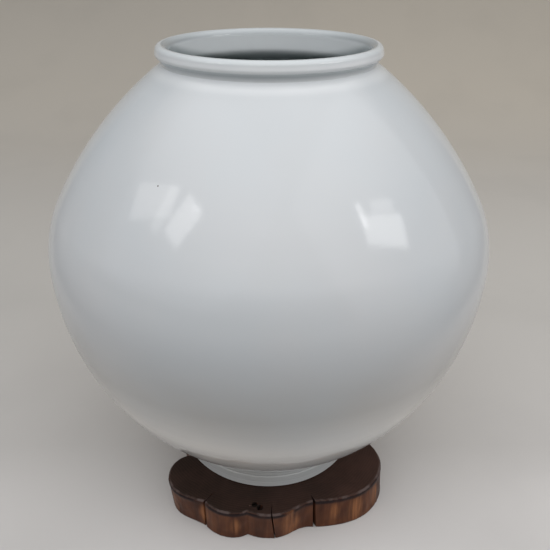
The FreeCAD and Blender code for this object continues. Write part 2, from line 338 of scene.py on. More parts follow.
@dataclass(frozen=True)
class PorcelainGlaze:
    """Bluish-white gloss glaze with the potter's marks, a bare foot rim and painted shade and
    light.

    Heights are above the floor, each span is where a soft step runs, and each
    grain is the scale and the detail of its noise.
    """

    # Tone by height: the glaze's own tone with painted light and shade in it, a painted shadow ring
    # on the foot under the bowl (59.4 to 68), painted light and shade on the lower bowl (146 to
    # 252), painted light on the shoulder under the neck (444 to 454), painted shade in the groove
    # under the lip (455.2 to 458.4), painted light on the lip's face (459.8 to 463.5) and painted
    # shade on its top (465.5 to 468).
    height_tones_and_painted_light: Stops = (
        (38.0, (0.64, 0.63, 0.605)),
        (57.6, (0.61, 0.60, 0.575)),
        (59.4, (0.34, 0.335, 0.325)),
        (68.0, (0.38, 0.37, 0.36)),
        (74.0, (0.74, 0.73, 0.70)),
        (122.0, (0.80, 0.785, 0.76)),
        (146.0, (0.79, 0.77, 0.735)),
        (160.0, (0.74, 0.715, 0.67)),
        (171.0, (0.90, 0.87, 0.815)),
        (180.0, (0.89, 0.86, 0.81)),
        (202.0, (0.72, 0.70, 0.665)),
        (225.0, (0.60, 0.585, 0.56)),
        (252.0, (0.63, 0.625, 0.615)),
        (285.0, (0.73, 0.74, 0.75)),
        (444.0, (0.68, 0.702, 0.718)),
        (449.0, (0.89, 0.91, 0.92)),
        (454.0, (0.94, 0.96, 0.97)),
        (455.2, (0.44, 0.475, 0.485)),
        (458.4, (0.60, 0.64, 0.65)),
        (459.8, (0.96, 0.975, 0.98)),
        (463.5, (0.96, 0.975, 0.98)),
        (465.5, (0.81, 0.84, 0.85)),
        (468.0, (0.65, 0.68, 0.695)),
    )
    drift: Grain = (7.0, 3.0)
    cool: Colour = (0.635, 0.695, 0.735)
    cool_clouds: Span = (0.35, 0.75)
    cool_share: float = 0.4
    # A darker bluish band round the joint of foot and bowl.
    joint_band_tone: Colour = (0.56, 0.63, 0.64)
    joint_band_height: float = 70.0
    joint_band_reach: Span = (0.5, 3.5)
    joint_band_share: float = 0.5
    iron: Colour = (0.10, 0.075, 0.06)
    iron_core: float = 0.5
    iron_specks: tuple[Spot, ...] = (
        Spot(-80.1, -137.7, 389.7, 0.9),
        Spot(96.0, -176.0, 300.0, 0.5),
        Spot(-30.0, 190.0, 333.0, 0.7),
    )
    speck_scale: float = 22.0
    speck_reach: Span = (0.004, 0.009)
    speck_chance: Span = (0.80, 0.82)
    speck_share: float = 0.6
    bare_clay: Colour = (0.66, 0.59, 0.50)
    bare_edge: Span = (38.98, 39.4)
    bare_roughness: float = 0.6
    inward_turn: Span = (0.002, 0.02)
    # Inside the mouth: painted shade deep down, painted light on the throat's wall and painted
    # shade on the crest's inner round, darker at its ends; throat_shade lets the painted shade
    # reach higher towards the sides.
    painted_depth_shading: Colour = (0.42, 0.47, 0.48)
    throat: Colour = (0.945, 0.985, 0.995)
    throat_foot: Span = (436.6, 445.6)
    throat_radius: float = 86.0
    throat_shade: float = 0.30
    crest_inside_painted_shade: Colour = (0.54, 0.575, 0.59)
    crest_ends_painted_shade: Colour = (0.40, 0.43, 0.445)
    crest_turn: Span = (-20.0, 76.0)
    brow: Span = (461.0, 464.5)
    gloss: float = 0.08
    gloss_drift: float = 0.04
    rings: Grain = (1.0, 2.0)
    ring_pitch: float = 75.0
    ring_drift: float = 0.8
    ring_depth: float = 0.11
    waves: Grain = (17.0, 1.0)
    wave_depth: float = 0.55
    skin: Grain = (260.0, 1.0)
    skin_depth: float = 0.004

    def material(self) -> bpy.types.Material:
        """Return the glaze as a material."""
        coat = Coat(Slot.WHITE_GLAZE.value)
        turn_x, turn_y, _ = coat.turn
        inside = ((turn_x * coat.x + turn_y * coat.y) * -1.0).rise(*self.inward_turn)
        drift = coat.grain(coat.place, *self.drift)

        # The glaze's tone by height, with the painted shade and light of its bands.
        tone = coat.tones(coat.height, self.height_tones_and_painted_light, MM)
        tone = coat.blend(drift.rise(*self.cool_clouds) * self.cool_share, tone, self.cool)
        # A darker bluish band round the joint of foot and bowl.
        joint_band = abs(coat.height - self.joint_band_height * MM).fall(*mm(*self.joint_band_reach))
        tone = coat.blend(joint_band * self.joint_band_share, tone, self.joint_band_tone)
        # Inside the mouth, painted shade and light take the place of the tone.
        tone = coat.blend(inside, tone, self._inside_painted_light(coat))
        specks = self._fine_specks(coat) + coat.spots(self.iron_specks, self.iron_core)
        tone = coat.blend(specks, tone, self.iron)
        bare = coat.height.fall(*mm(*self.bare_edge))
        tone = coat.blend(bare, tone, self.bare_clay)
        return coat.finish(
            Base_Color=tone,
            Roughness=bare * self.bare_roughness + drift * self.gloss_drift + self.gloss,
            IOR=1.55,
            Normal=coat.relief(self._relief(coat, drift)),
        )

    def _inside_painted_light(self, coat: Coat) -> Socket:
        """Return the tone inside: painted shade deep down, painted light on the throat's wall and
        painted shade on the lip's inner round, darker at its ends.
        """
        level = coat.height + (coat.y - self.throat_radius * MM) * self.throat_shade
        lining = coat.blend(level.rise(*mm(*self.throat_foot)), self.painted_depth_shading, self.throat)
        crest_turn = coat.y.rise(*mm(*self.crest_turn))
        crest = coat.blend(crest_turn, self.crest_ends_painted_shade, self.crest_inside_painted_shade)
        return coat.blend(coat.height.rise(*mm(*self.brow)), lining, crest)

    def _fine_specks(self, coat: Coat) -> Level:
        """Return the mask of a few pin-head iron specks anywhere on the jar."""
        sockets = {"Vector": coat.place, "Scale": self.speck_scale}
        cells = coat.node("ShaderNodeTexVoronoi", {"feature": "F1"}, sockets)
        chance, _, _ = coat.parts(cells.outputs["Color"])
        near = Level(coat, cells.outputs["Distance"]).fall(*self.speck_reach)
        return near * chance.rise(*self.speck_chance) * self.speck_share

    def _relief(self, coat: Coat, drift: Level) -> Level:
        """Return how far the surface stands up.

        Args:
            coat: the glaze's nodes.
            drift: slow clouds, which bend the rings a little.

        Returns:
            The wheel's rings, the glaze's slow waves and its fine skin, in metres.
        """
        climb = {"Z": coat.height * self.ring_pitch + drift * self.ring_drift}
        rings = coat.grain(coat.node("ShaderNodeCombineXYZ", {}, climb).outputs[0], *self.rings)
        waves = coat.grain(coat.place, *self.waves)
        skin = coat.grain(coat.place, *self.skin)
        ring_depth, wave_depth, skin_depth = mm(self.ring_depth, self.wave_depth, self.skin_depth)
        return rings * ring_depth + waves * wave_depth + skin * skin_depth


@dataclass(frozen=True)
class DarkWood:
    """Oiled dark wood: near black end grain, redder sides with upright grain, wear with a painted
    highlight on the top edge, a painted shadow line under it and painted shade in the knot holes.

    Heights are above the floor, each span is where a soft step runs, and each
    grain is the scale and the detail of its noise. The rings' pitch is radians
    per metre, and the upright shares are how tall the grain of the sides runs.
    """

    face_dark: Colour = (0.020, 0.0135, 0.0105)
    face_light: Colour = (0.066, 0.034, 0.026)
    face_turn: Span = (0.55, 0.9)
    ring_pitch: float = 2300.0
    ring_warp: float = 26.0
    warp: Grain = (22.0, 3.0)
    rays: Grain = (260.0, 4.0)
    rays_upright: float = 0.2
    clouds: Grain = (26.0, 2.0)
    cloud_edge: Span = (0.35, 0.65)
    right_side: Span = (0.0, 100.0)
    side_tones: Stops = (
        (0.26, (0.046, 0.018, 0.011)),
        (0.50, (0.096, 0.036, 0.019)),
        (0.78, (0.185, 0.072, 0.032)),
    )
    streaks: Grain = (300.0, 3.0)
    streaks_upright: float = 0.07
    bands: Grain = (70.0, 2.0)
    bands_upright: float = 0.25
    blotches: Grain = (34.0, 2.0)
    # Painted shadow line just under the rounded top edge.
    painted_shadow_line: Colour = (0.020, 0.011, 0.011)
    shadow_line_foot: Span = (31.0, 34.5)
    shadow_line_head: Span = (36.6, 37.4)
    shadow_line_clouds: Span = (0.30, 0.50)
    sapwood: Colour = (0.30, 0.122, 0.050)
    sapwood_edge: Span = (0.2, 0.75)
    patch_core: float = 0.35
    patch_upright: float = 0.45
    light_patches: tuple[Spot, ...] = (
        Spot(23.0, -128.0, 18.0, 12.0),
        Spot(31.0, -126.0, 14.0, 7.0),
        Spot(92.0, -106.0, 16.0, 12.0),
        Spot(70.0, -113.0, 20.0, 7.0),
        Spot(-66.0, -116.0, 20.0, 8.0),
        Spot(115.0, -90.0, 18.0, 9.0),
        Spot(-34.0, -128.0, 18.0, 8.0),
        Spot(-98.0, -98.0, 18.0, 8.0),
    )
    # Wear and a painted highlight where the rounded top edge catches light, broken up by scuffs.
    worn: Colour = (0.145, 0.108, 0.10)
    wear_and_highlight_foot: Span = (35.4, 37.0)
    wear_and_highlight_turn: Span = (0.93, 0.999)
    wear_and_highlight_share: float = 0.65
    scuffs: Grain = (90.0, 4.0)
    scuff_edge: Span = (0.40, 0.62)
    # Painted shade inside the holes that the lost knots left.
    hollow: Colour = (0.006, 0.004, 0.003)
    hollow_core: float = 0.75
    hollows: tuple[Spot, ...] = (
        Spot(-14.0, -120.8, SLAB_THICKNESS, 3.6),
        Spot(-8.5, -124.5, SLAB_THICKNESS, 3.8),
        Spot(-22.0, -130.5, SLAB_THICKNESS, 2.0),
    )
    streak_depth: float = 0.25
    band_depth: float = 0.5
    ring_depth: float = 0.04
    ray_depth: float = 0.14

    def material(self) -> bpy.types.Material:
        """Return the wood as a material."""
        coat = Coat(Slot.DARK_WOOD.value)
        place, x, y, height = coat.place, coat.x, coat.y, coat.height
        _, _, up = coat.turn
        on_face = abs(up).rise(*self.face_turn)
        on_side = 1 - on_face

        warp = coat.grain(place, *self.warp) * self.ring_warp
        rings = ((x * x + y * y).root() * self.ring_pitch + warp).sine() * 0.5 + 0.5
        rays = coat.grain(coat.upright(self.rays_upright), *self.rays)
        clouds = coat.grain(place, *self.clouds).rise(*self.cloud_edge)
        right = x.rise(*mm(*self.right_side))
        light = rings * 0.2 + rays * 0.25 + clouds * 0.3 + right * 0.35
        face = coat.blend(light, self.face_dark, self.face_light)

        streaks = coat.grain(coat.upright(self.streaks_upright), *self.streaks)
        bands = coat.grain(coat.upright(self.bands_upright), *self.bands)
        blotches = coat.grain(place, *self.blotches)
        shade = streaks * 0.3 + bands * 0.7 + blotches * 0.6 - 0.31
        side = coat.ramp(shade, self.side_tones)
        pale = coat.spots(self.light_patches, self.patch_core, self.patch_upright)
        side = coat.blend(pale * streaks.rise(*self.sapwood_edge), side, self.sapwood)
        # Painted shadow line under the rounded top edge, broken up by blotches.
        painted_shadow_line = height.rise(*mm(*self.shadow_line_foot)) * height.fall(*mm(*self.shadow_line_head))
        side = coat.blend(painted_shadow_line * blotches.rise(*self.shadow_line_clouds), side, self.painted_shadow_line)

        tone = coat.blend(on_face, side, face)
        # Wear and a painted highlight on the rounded top edge, broken up by scuffs.
        edge = height.rise(*mm(*self.wear_and_highlight_foot)) * abs(up).fall(*self.wear_and_highlight_turn)
        scuffs = coat.grain(place, *self.scuffs).rise(*self.scuff_edge)
        tone = coat.blend(edge * scuffs * self.wear_and_highlight_share, tone, self.worn)
        # Painted shade inside the knot holes.
        tone = coat.blend(coat.spots(self.hollows, self.hollow_core), tone, self.hollow)
        relief = (
            streaks * on_side * (self.streak_depth * MM)
            + bands * on_side * (self.band_depth * MM)
            + rings * on_face * (self.ring_depth * MM)
            + rays * on_face * (self.ray_depth * MM)
        )
        return coat.finish(
            Base_Color=tone,
            Roughness=0.52 - rays * 0.18,
            IOR=1.45,
            Specular_IOR_Level=0.15,
            Normal=coat.relief(relief),
        )


@dataclass(frozen=True)
class StudioPaper:
    """Pale floor with painted light and shade: lightest in front of the jar, darker to the left,
    beside the slab and where it is out of sight.

    Places are in metres, across and in depth, and each span is a soft step.
    """

    name: str = "studio_paper"
    # Painted light and shade along the depth: a bright pool just in front of the slab, dimmer
    # behind it and dark far in front.
    painted_depth_shading: Stops = (
        (-0.60, (0.22, 0.215, 0.21)),
        (-0.30, (0.30, 0.29, 0.285)),
        (-0.19, (0.79, 0.765, 0.75)),
        (-0.14, (0.73, 0.705, 0.69)),
        (0.0, (0.55, 0.53, 0.51)),
        (0.35, (0.51, 0.49, 0.46)),
        (0.85, (0.47, 0.445, 0.41)),
        (1.60, (0.49, 0.45, 0.39)),
        (2.10, (0.49, 0.45, 0.39)),
    )
    # Painted shade to the left and at the corners beside the slab's front.
    painted_floor_shade: Colour = (0.36, 0.35, 0.335)
    left: Span = (-0.55, 0.45)
    left_share: float = 0.25
    corners_across: Span = (0.06, 0.26)
    corners_depth: Span = (-0.20, -0.05)
    corners_share: float = 0.45
    # Painted shade where the floor is out of sight.
    unseen_painted_shade: Colour = (0.20, 0.195, 0.19)
    sight_opening: float = 0.6
    sight_edge: Span = (0.46, 0.75)
    clouds: Grain = (5.0, 5.0)
    mottle: Colour = (0.1, 0.1, 0.1)
    mottle_share: float = 0.2

    def material(self) -> bpy.types.Material:
        """Return the paper as a material."""
        coat = Coat(self.name)
        across, depth = coat.x, coat.y
        # Painted light and shade along the depth.
        tone = coat.tones(depth, self.painted_depth_shading)
        # Painted shade to the left.
        tone = coat.blend(across.fall(*self.left) * self.left_share, tone, self.painted_floor_shade)
        # Painted shade where the floor is out of sight.
        aside = (abs(across) - depth * self.sight_opening).rise(*self.sight_edge)
        tone = coat.blend(aside, tone, self.unseen_painted_shade)
        # Painted shade at the corners beside the slab's front.
        corners = abs(across).rise(*self.corners_across) * depth.fall(*self.corners_depth)
        tone = coat.blend(corners * self.corners_share, tone, self.painted_floor_shade)
        clouds = coat.grain(coat.place, *self.clouds) - 0.5
        tone = coat.blend(clouds * self.mottle_share, tone, self.mottle)
        return coat.finish(Base_Color=tone, Roughness=0.95, Specular_IOR_Level=0.15)


# ---- hand tools ---------------------------------------------------------------


class Bench:
    """Blender's operators, used on one piece at a time."""

    @staticmethod
    def clear() -> None:
        """Leave edit mode and select nothing."""
        if bpy.context.object and bpy.context.object.mode != "OBJECT":
            bpy.ops.object.mode_set(mode="OBJECT")
        bpy.ops.object.select_all(action="DESELECT")

    @staticmethod
    def take(piece: bpy.types.Object) -> None:
        """Leave edit mode with this piece selected alone."""
        Bench.clear()
        piece.select_set(True)
        bpy.context.view_layer.objects.active = piece

    @staticmethod
    def draw(name: str, points: Sequence[Vector]) -> bpy.types.Object:
        """Draw a line of edges as a new piece.

        Args:
            name: the piece's name.
            points: the line's points; a closed line ends where it starts.

        Returns:
            The piece, in edit mode and selected all over.
        """
        Bench.clear()
        bpy.ops.mesh.primitive_plane_add(size=0.01, location=(0, 0, 0))
        piece = bpy.context.object
        piece.name = name
        piece.data.name = name
        bpy.ops.object.mode_set(mode="EDIT")
        bpy.ops.mesh.select_mode(type="VERT")
        bpy.ops.mesh.select_all(action="SELECT")
        bpy.ops.mesh.merge(type="CENTER")
        bpy.ops.transform.translate(value=points[0])
        for last, point in zip(points, points[1:]):
            Bench.extrude(point - last)
        Bench.close_doubles()
        return piece

    @staticmethod
    def extrude(step: Sequence[float]) -> None:
        """Extrude what is selected by a step."""
        bpy.ops.mesh.extrude_region_move(TRANSFORM_OT_translate={"value": step})

    @staticmethod
    def close_doubles() -> None:
        """Select everything and merge vertices that lie on each other."""
        bpy.ops.mesh.select_all(action="SELECT")
        bpy.ops.mesh.remove_doubles(threshold=MERGE_DISTANCE)

    @staticmethod
    def turn_faces(inwards: bool = False) -> None:
        """Turn every face outwards, or else inwards, and leave edit mode."""
        bpy.ops.mesh.select_all(action="SELECT")
        bpy.ops.mesh.normals_make_consistent(inside=inwards)
        bpy.ops.object.mode_set(mode="OBJECT")

    @staticmethod
    def pick_loop(piece: bpy.types.Object, height: float) -> None:
        """Select the edges that lie at one height.

        Args:
            piece: the piece, in edit mode.
            height: the height, in metres.
        """
        bpy.ops.mesh.select_mode(type="EDGE")
        bpy.ops.mesh.select_all(action="DESELECT")
        bpy.ops.object.mode_set(mode="OBJECT")
        ends = piece.data.vertices
        for edge in piece.data.edges:
            edge.select = all(abs(ends[v].co.z - height) < LEVEL_TOLERANCE for v in edge.vertices)
        bpy.ops.object.mode_set(mode="EDIT")

    @staticmethod
    def apply(piece: bpy.types.Object) -> None:
        """Apply every modifier of a piece."""
        Bench.take(piece)
        for modifier in list(piece.modifiers):
            bpy.ops.object.modifier_apply(modifier=modifier.name)

    @staticmethod
    def smooth(piece: bpy.types.Object, sharp_from: float) -> None:
        """Shade a piece smooth, with corners from an angle in degrees up."""
        Bench.take(piece)
        bpy.ops.object.shade_smooth_by_angle(angle=math.radians(sharp_from))


def between(start: SectionPoint, end: SectionPoint, share: float) -> SectionPoint:
    """Return the point at a share of the way from start to end."""
    return (start[0] + share * (end[0] - start[0]), start[1] + share * (end[1] - start[1]))


def onwards(start: SectionPoint, heading: SectionPoint, reach: float) -> SectionPoint:
    """Return the point at a distance from start along a unit heading."""
    return (start[0] + reach * heading[0], start[1] + reach * heading[1])


@dataclass(frozen=True)
class Round:
    """A circular stretch of a section."""

    centre: SectionPoint
    radius: float
    start_angle: float
    end_angle: float

    @classmethod
    def leaving(cls, start: SectionPoint, heading: SectionPoint, end: SectionPoint) -> "Round":
        """Lay a round through two points.

        Args:
            start: where it starts.
            heading: the unit heading with which it leaves.
            end: where it ends.

        Returns:
            The round.
        """
        chord = (end[0] - start[0], end[1] - start[1])
        turn = math.atan2(
            heading[0] * chord[1] - heading[1] * chord[0],
            heading[0] * chord[0] + heading[1] * chord[1],
        )
        side = math.copysign(1.0, turn)
        radius = math.hypot(*chord) / (2 * math.sin(abs(turn)))
        centre = onwards(start, (-heading[1], heading[0]), side * radius)
        first = math.atan2(start[1] - centre[1], start[0] - centre[0])
        return cls(centre, radius, first, first + 2 * turn)

    @classmethod
    def dish(cls, rim_radius: float, rim_height: float, depth: float) -> "Round":
        """Lay the shallow round of a floor.

        Args:
            rim_radius: the radius of the jar at its rim.
            rim_height: the height of its rim.
            depth: how far its middle lies lower.

        Returns:
            The round, from the axis up to its rim.
        """
        radius = (rim_radius**2 + depth**2) / (2 * depth)
        lowest = -math.pi / 2
        centre = (0.0, rim_height - depth + radius)
        return cls(centre, radius, lowest, lowest + math.asin(rim_radius / radius))

    def point(self, angle: float) -> SectionPoint:
        """Return the point at an angle from the centre."""
        return onwards(self.centre, (math.cos(angle), math.sin(angle)), self.radius)

    def heading_at_end(self) -> SectionPoint:
        """Return the unit heading with which the round ends."""
        side = math.copysign(1.0, self.end_angle - self.start_angle)
        return (-side * math.sin(self.end_angle), side * math.cos(self.end_angle))

    def set_in(self, wall: float) -> "Round":
        """Return the concentric round one wall further in."""
        return Round(self.centre, self.radius - wall, self.start_angle, self.end_angle)

    def ended_at_radius(self, radius: float) -> "Round":
        """Return the round cut off where it reaches a radius of the jar."""
        end = math.acos((radius - self.centre[0]) / self.radius)
        return Round(self.centre, self.radius, self.start_angle, end)

    def reversed(self) -> "Round":
        """Return the same round, walked the other way."""
        return Round(self.centre, self.radius, self.end_angle, self.start_angle)

    def steps(self, count: int) -> list[SectionPoint]:
        """Walk along the round in steps that get shorter towards its two ends.

        Args:
            count: the number of steps.

        Returns:
            The points, both ends among them.
        """
        sweep = self.end_angle - self.start_angle
        eased = [(1 - math.cos(math.pi * share)) / 2 for share in shares(count)]
        return [self.point(self.start_angle + sweep * share) for share in eased]


@dataclass(frozen=True)
class SharedSizes:
    """Sizes that the pieces share; heights of the jar are above the slab."""

    slab: float = SLAB_THICKNESS
    height: float = 430.0
    belly_radius: float = 209.0
    wall: float = 7.0
    seam_height: float = 243.0
    seam_thickness: float = 2.0
    foot_radius: float = 98.0
    foot_height: float = 32.0
    foot_rim_width: float = 12.0
    foot_inner_taper: float = 3.0
    collar_height: float = 15.5
    throat_radius: float = 86.0
    neck_wall: float = 7.0

    @property
    def foot_top_inner(self) -> float:
        """Radius inside the foot, at its top."""
        return self.foot_radius - self.foot_rim_width - self.foot_inner_taper

    @property
    def neck_radius(self) -> float:
        """Outer radius where the collar meets the upper bowl."""
        return self.throat_radius + self.neck_wall

    @property
    def collar_base(self) -> float:
        """Height of that joint above the slab."""
        return self.height - self.collar_height


@dataclass
class Piece:
    """One separate piece of the object, in the place of one node of the frame."""

    sizes: SharedSizes
    NAME: ClassVar[str]
    NODE: ClassVar[str]
    BODY: ClassVar[Body]
    SLOT: ClassVar[Slot]

    def build(self) -> bpy.types.Object:
        """Model the piece at its place."""
        raise NotImplementedError

    def dress(self, piece: bpy.types.Object, finish: bpy.types.Material) -> None:
        """Give the modelled piece its finish and its place in the frame.

        Args:
            piece: what build returned.
            finish: the material of its slot.
        """
        piece.data.materials.clear()
        piece.data.materials.append(finish)
        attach(piece, self.BODY.value)
        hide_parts(self.NODE)


# ---- the jar ------------------------------------------------------------------


@dataclass
class ThrownPiece(Piece):
    """A piece of the jar, turned on the wheel from its closed section."""

    BODY = Body.JAR
    SLOT = Slot.WHITE_GLAZE
    TURN_STEPS: ClassVar[int] = 256
    SHARP_FROM: ClassVar[float] = 32.0

    def section(self) -> list[SectionPoint]:
        """Return the radius of each point and its height above the slab."""
        raise NotImplementedError

    def build(self) -> bpy.types.Object:
        """Turn the section round the axis and close its joint."""
        points = [Vector(mm(r, 0.0, z + self.sizes.slab)) for r, z in self.section()]
        piece = Bench.draw(self.NAME, [*points, points[0]])
        bpy.ops.mesh.spin(
            steps=self.TURN_STEPS, angle=math.tau, center=(0, 0, 0), axis=(0, 0, 1)
        )
        Bench.close_doubles()
        Bench.turn_faces()
        Bench.smooth(piece, self.SHARP_FROM)
        return piece


@dataclass
class FootRing(ThrownPiece):
    """The turned foot, with the lines that the trimming tool left round it.

    Each tool line has its height, its half width and its depth.
    """

    edge: float = 1.2
    edge_shares: tuple[float, ...] = (1.0, 0.7, 0.4, 0.15)
    waist: float = 0.9
    rows: int = 84
    tool_lines: tuple[tuple[float, float, float], ...] = (
        (6.8, 0.9, 0.22),
        (14.6, 1.6, 0.7),
        (21.5, 1.2, 0.3),
        (26.8, 0.9, 0.2),
    )
    NAME = "turned_foot"
    NODE = "foot_ring"

    def wall_radius(self, height: float) -> float:
        """Return the outer radius of the foot.

        Args:
            height: the height above the slab.

        Returns:
            The radius there, with the waist and the tool lines taken off.
        """
        across = (height - self.edge) / (self.sizes.foot_height - self.edge)
        dip = max(0.0, math.sin(math.pi * across)) ** 0.7
        radius = self.sizes.foot_radius - self.waist * dip
        for middle, half_width, depth in self.tool_lines:
            away = min(1.0, abs(height - middle) / half_width)
            radius -= depth * (1 - away) ** 1.2
        return radius

    def section(self) -> list[SectionPoint]:
        """Go from the rim it stands on up to the lower bowl and down inside."""
        sizes = self.sizes
        inner = sizes.foot_radius - sizes.foot_rim_width
        span = sizes.foot_height - self.edge
        heights = [self.edge + span * share for share in shares(self.rows)]
        corner = [
            (sizes.foot_radius - self.edge * share, self.edge * (1 - share) ** 1.6)
            for share in self.edge_shares
        ]
        return [
            *corner,
            *((self.wall_radius(height), height) for height in heights),
            (sizes.foot_top_inner, sizes.foot_height),
            (inner, self.edge),
            (inner + self.edge * 0.3, self.edge * 0.3),
            (inner + self.edge, 0.0),
        ]


@dataclass
class LowerBowl(ThrownPiece):
    """The lower thrown half, with its thick floor over the foot."""

    floor_thickness: float = 12.0
    floor_inset: float = 3.0
    floor_dish: float = 3.0
    base_sag: float = 3.0
    outside_steps: int = 84
    base_steps: int = 16
    floor_steps: int = 18
    inside_steps: int = 60
    NAME = "lower_thrown_bowl"
    NODE = "lower_bowl"

    def section(self) -> list[SectionPoint]:
        """Go down the outside, in to the axis and up inside to the rim."""
        sizes = self.sizes
        foot_top = sizes.foot_height
        outside = Round.leaving(
            (sizes.belly_radius, sizes.seam_height), DOWN, (sizes.foot_radius, foot_top)
        )
        base = Round.dish(sizes.foot_top_inner, foot_top, self.base_sag)
        floor = Round.dish(
            sizes.foot_radius - self.floor_inset,
            foot_top + self.floor_thickness,
            self.floor_dish,
        )
        inner_rim = (sizes.belly_radius - sizes.wall, sizes.seam_height)
        inside = Round.leaving(inner_rim, DOWN, floor.point(floor.end_angle))
        return [
            *outside.steps(self.outside_steps),
            *base.reversed().steps(self.base_steps),
            *floor.steps(self.floor_steps),
            *inside.reversed().steps(self.inside_steps)[1:],
        ]


@dataclass
class BellySeam(ThrownPiece):
    """The slip that lutes the two bowls, pressed out a little on the inside."""

    squeeze: float = 1.2
    ridge_steps: int = 8
    outer_shares: tuple[float, ...] = (0.0, 0.33, 0.67, 1.0)
    NAME = "luting_seam"
    NODE = "belly_seam"

    def section(self) -> list[SectionPoint]:
        """Go up the outside of the band and down its inner ridge."""
        sizes = self.sizes
        low, thick = sizes.seam_height, sizes.seam_thickness
        inner = sizes.belly_radius - sizes.wall
        outer = [(sizes.belly_radius, low + thick * share) for share in self.outer_shares]
        ridge = [
            (inner - self.squeeze * math.sin(math.pi * share), low + thick - thick * share)
            for share in shares(self.ridge_steps)
        ]
        return [*outer, *ridge]


@dataclass
class UpperBowl(ThrownPiece):
    """The upper thrown half, from the seam to the neck."""

    belly_reach: float = 29.7
    neck_slope: float = 54.0
    throat_drop: float = 6.0
    throat_round: float = 16.0
    corner_lift: float = 1.0
    corner_steps: int = 10
    belly_steps: int = 36
    shoulder_steps: int = 56
    inner_belly_steps: int = 28
    inner_shoulder_steps: int = 44
    NAME = "upper_thrown_bowl"
    NODE = "upper_bowl"

    def shoulder(self) -> tuple[Round, Round]:
        """Return the belly's tight round and the shoulder's long one."""
        sizes = self.sizes
        start = (sizes.belly_radius, sizes.seam_height + sizes.seam_thickness)
        end = (sizes.neck_radius, sizes.collar_base)
        slope = math.radians(self.neck_slope)
        heading = (-math.sin(slope), math.cos(slope))
        across = (end[0] - start[0], end[1] - start[1])
        span = across[0] ** 2 + across[1] ** 2
        along_end = across[0] * heading[0] + across[1] * heading[1]
        reach = self.belly_reach
        neck_reach = (span - 2 * reach * across[1]) / (
            2 * (along_end + reach * (1 - heading[1]))
        )
        belly_knee = onwards(start, UP, reach)
        neck_knee = onwards(end, heading, -neck_reach)
        joint = between(belly_knee, neck_knee, reach / (reach + neck_reach))
        belly = Round.leaving(start, UP, joint)
        return belly, Round.leaving(joint, belly.heading_at_end(), end)

    def _wiped_corner(self, shoulder: Round) -> list[SectionPoint]:
        """Wipe the corner of the throat round.

        Args:
            shoulder: the inner round of the shoulder, up to the throat.

        Returns:
            The points from the throat down to the foot of that round.
        """
        corner = shoulder.point(shoulder.end_angle)
        walk = shoulder.reversed().steps(self.inner_shoulder_steps)
        kept = [point for point in walk if math.dist(point, corner) > self.throat_round]
        start = onwards(corner, UP, self.corner_lift)
        knee = onwards(corner, DOWN, self.throat_drop)
        bend = [
            between(between(start, knee, share), between(knee, kept[0], share), share)
            for share in shares(self.corner_steps)
        ]
        return [*bend, *kept[1:]]

    def section(self) -> list[SectionPoint]:
        """Go up the outside to the neck and down inside from the throat."""
        sizes = self.sizes
        belly, shoulder = self.shoulder()
        inner_shoulder = shoulder.set_in(sizes.wall).ended_at_radius(sizes.throat_radius)
        return [
            *belly.steps(self.belly_steps),
            *shoulder.steps(self.shoulder_steps)[1:],
            (sizes.throat_radius, sizes.collar_base),
            *self._wiped_corner(inner_shoulder),
            *belly.set_in(sizes.wall).reversed().steps(self.inner_belly_steps)[1:],
        ]


@dataclass
class MouthRim(ThrownPiece):
    """The short hollowed neck and the rolled lip."""

    neck_hollow: float = 0.7
    neck_steps: int = 12
    lip_round: float = 4.5
    lip_face: float = 3.0
    lip_lean: float = 12.0
    under_round: float = 3.0
    undercut: float = 72.0
    inner_round: float = 6.5
    roll_steps: int = 20
    NAME = "rolled_mouth"
    NODE = "mouth_rim"

    def section(self) -> list[SectionPoint]:
        """Go up the neck, out round the lip and down inside the throat."""
        sizes = self.sizes
        crest = sizes.throat_radius + self.inner_round
        lean = math.radians(self.lip_lean)
        quarter = math.pi / 2
        brow = Round((crest, sizes.height - self.lip_round), self.lip_round, lean, quarter)
        face_foot = onwards(brow.point(lean), (math.sin(lean), -math.cos(lean)), self.lip_face)
        roll_centre = onwards(face_foot, (math.cos(lean), math.sin(lean)), -self.under_round)
        roll = Round(roll_centre, self.under_round, -math.radians(self.undercut), lean)
        inner_centre = (crest, sizes.height - self.inner_round)
        inner = Round(inner_centre, self.inner_round, quarter, math.pi)
        neck = (sizes.neck_radius, sizes.collar_base)
        under = roll.point(roll.start_angle)
        hollow = [
            onwards(
                between(neck, under, share),
                (-1.0, 0.0),
                self.neck_hollow * math.sin(math.pi * share),
            )
            for share in shares(self.neck_steps)[:-1]
        ]
        return [
            *hollow,
            *roll.steps(self.roll_steps),
            *brow.steps(self.roll_steps),
            *inner.steps(self.roll_steps)[1:],
            (sizes.throat_radius, sizes.collar_base),
        ]


# ---- the slab -----------------------------------------------------------------


@dataclass(frozen=True)
class Lobe:
    """One lobe of the trunk, from its fold on, in degrees and mm past the foot."""

    draws_in: float
    back: tuple[tuple[float, float], ...]


@dataclass(frozen=True)
class DryingCheck:
    """A wedge-shaped crack right through the slab."""

    mouth: tuple[float, float]
    runs: float
    depth: float
    width: float
    lean: float


@dataclass(frozen=True)
class LostKnot:
    """A ragged oval hole that a small knot left in the top."""

    x: float
    y: float
    half_length: float
    half_width: float
    depth: float
    turn: float


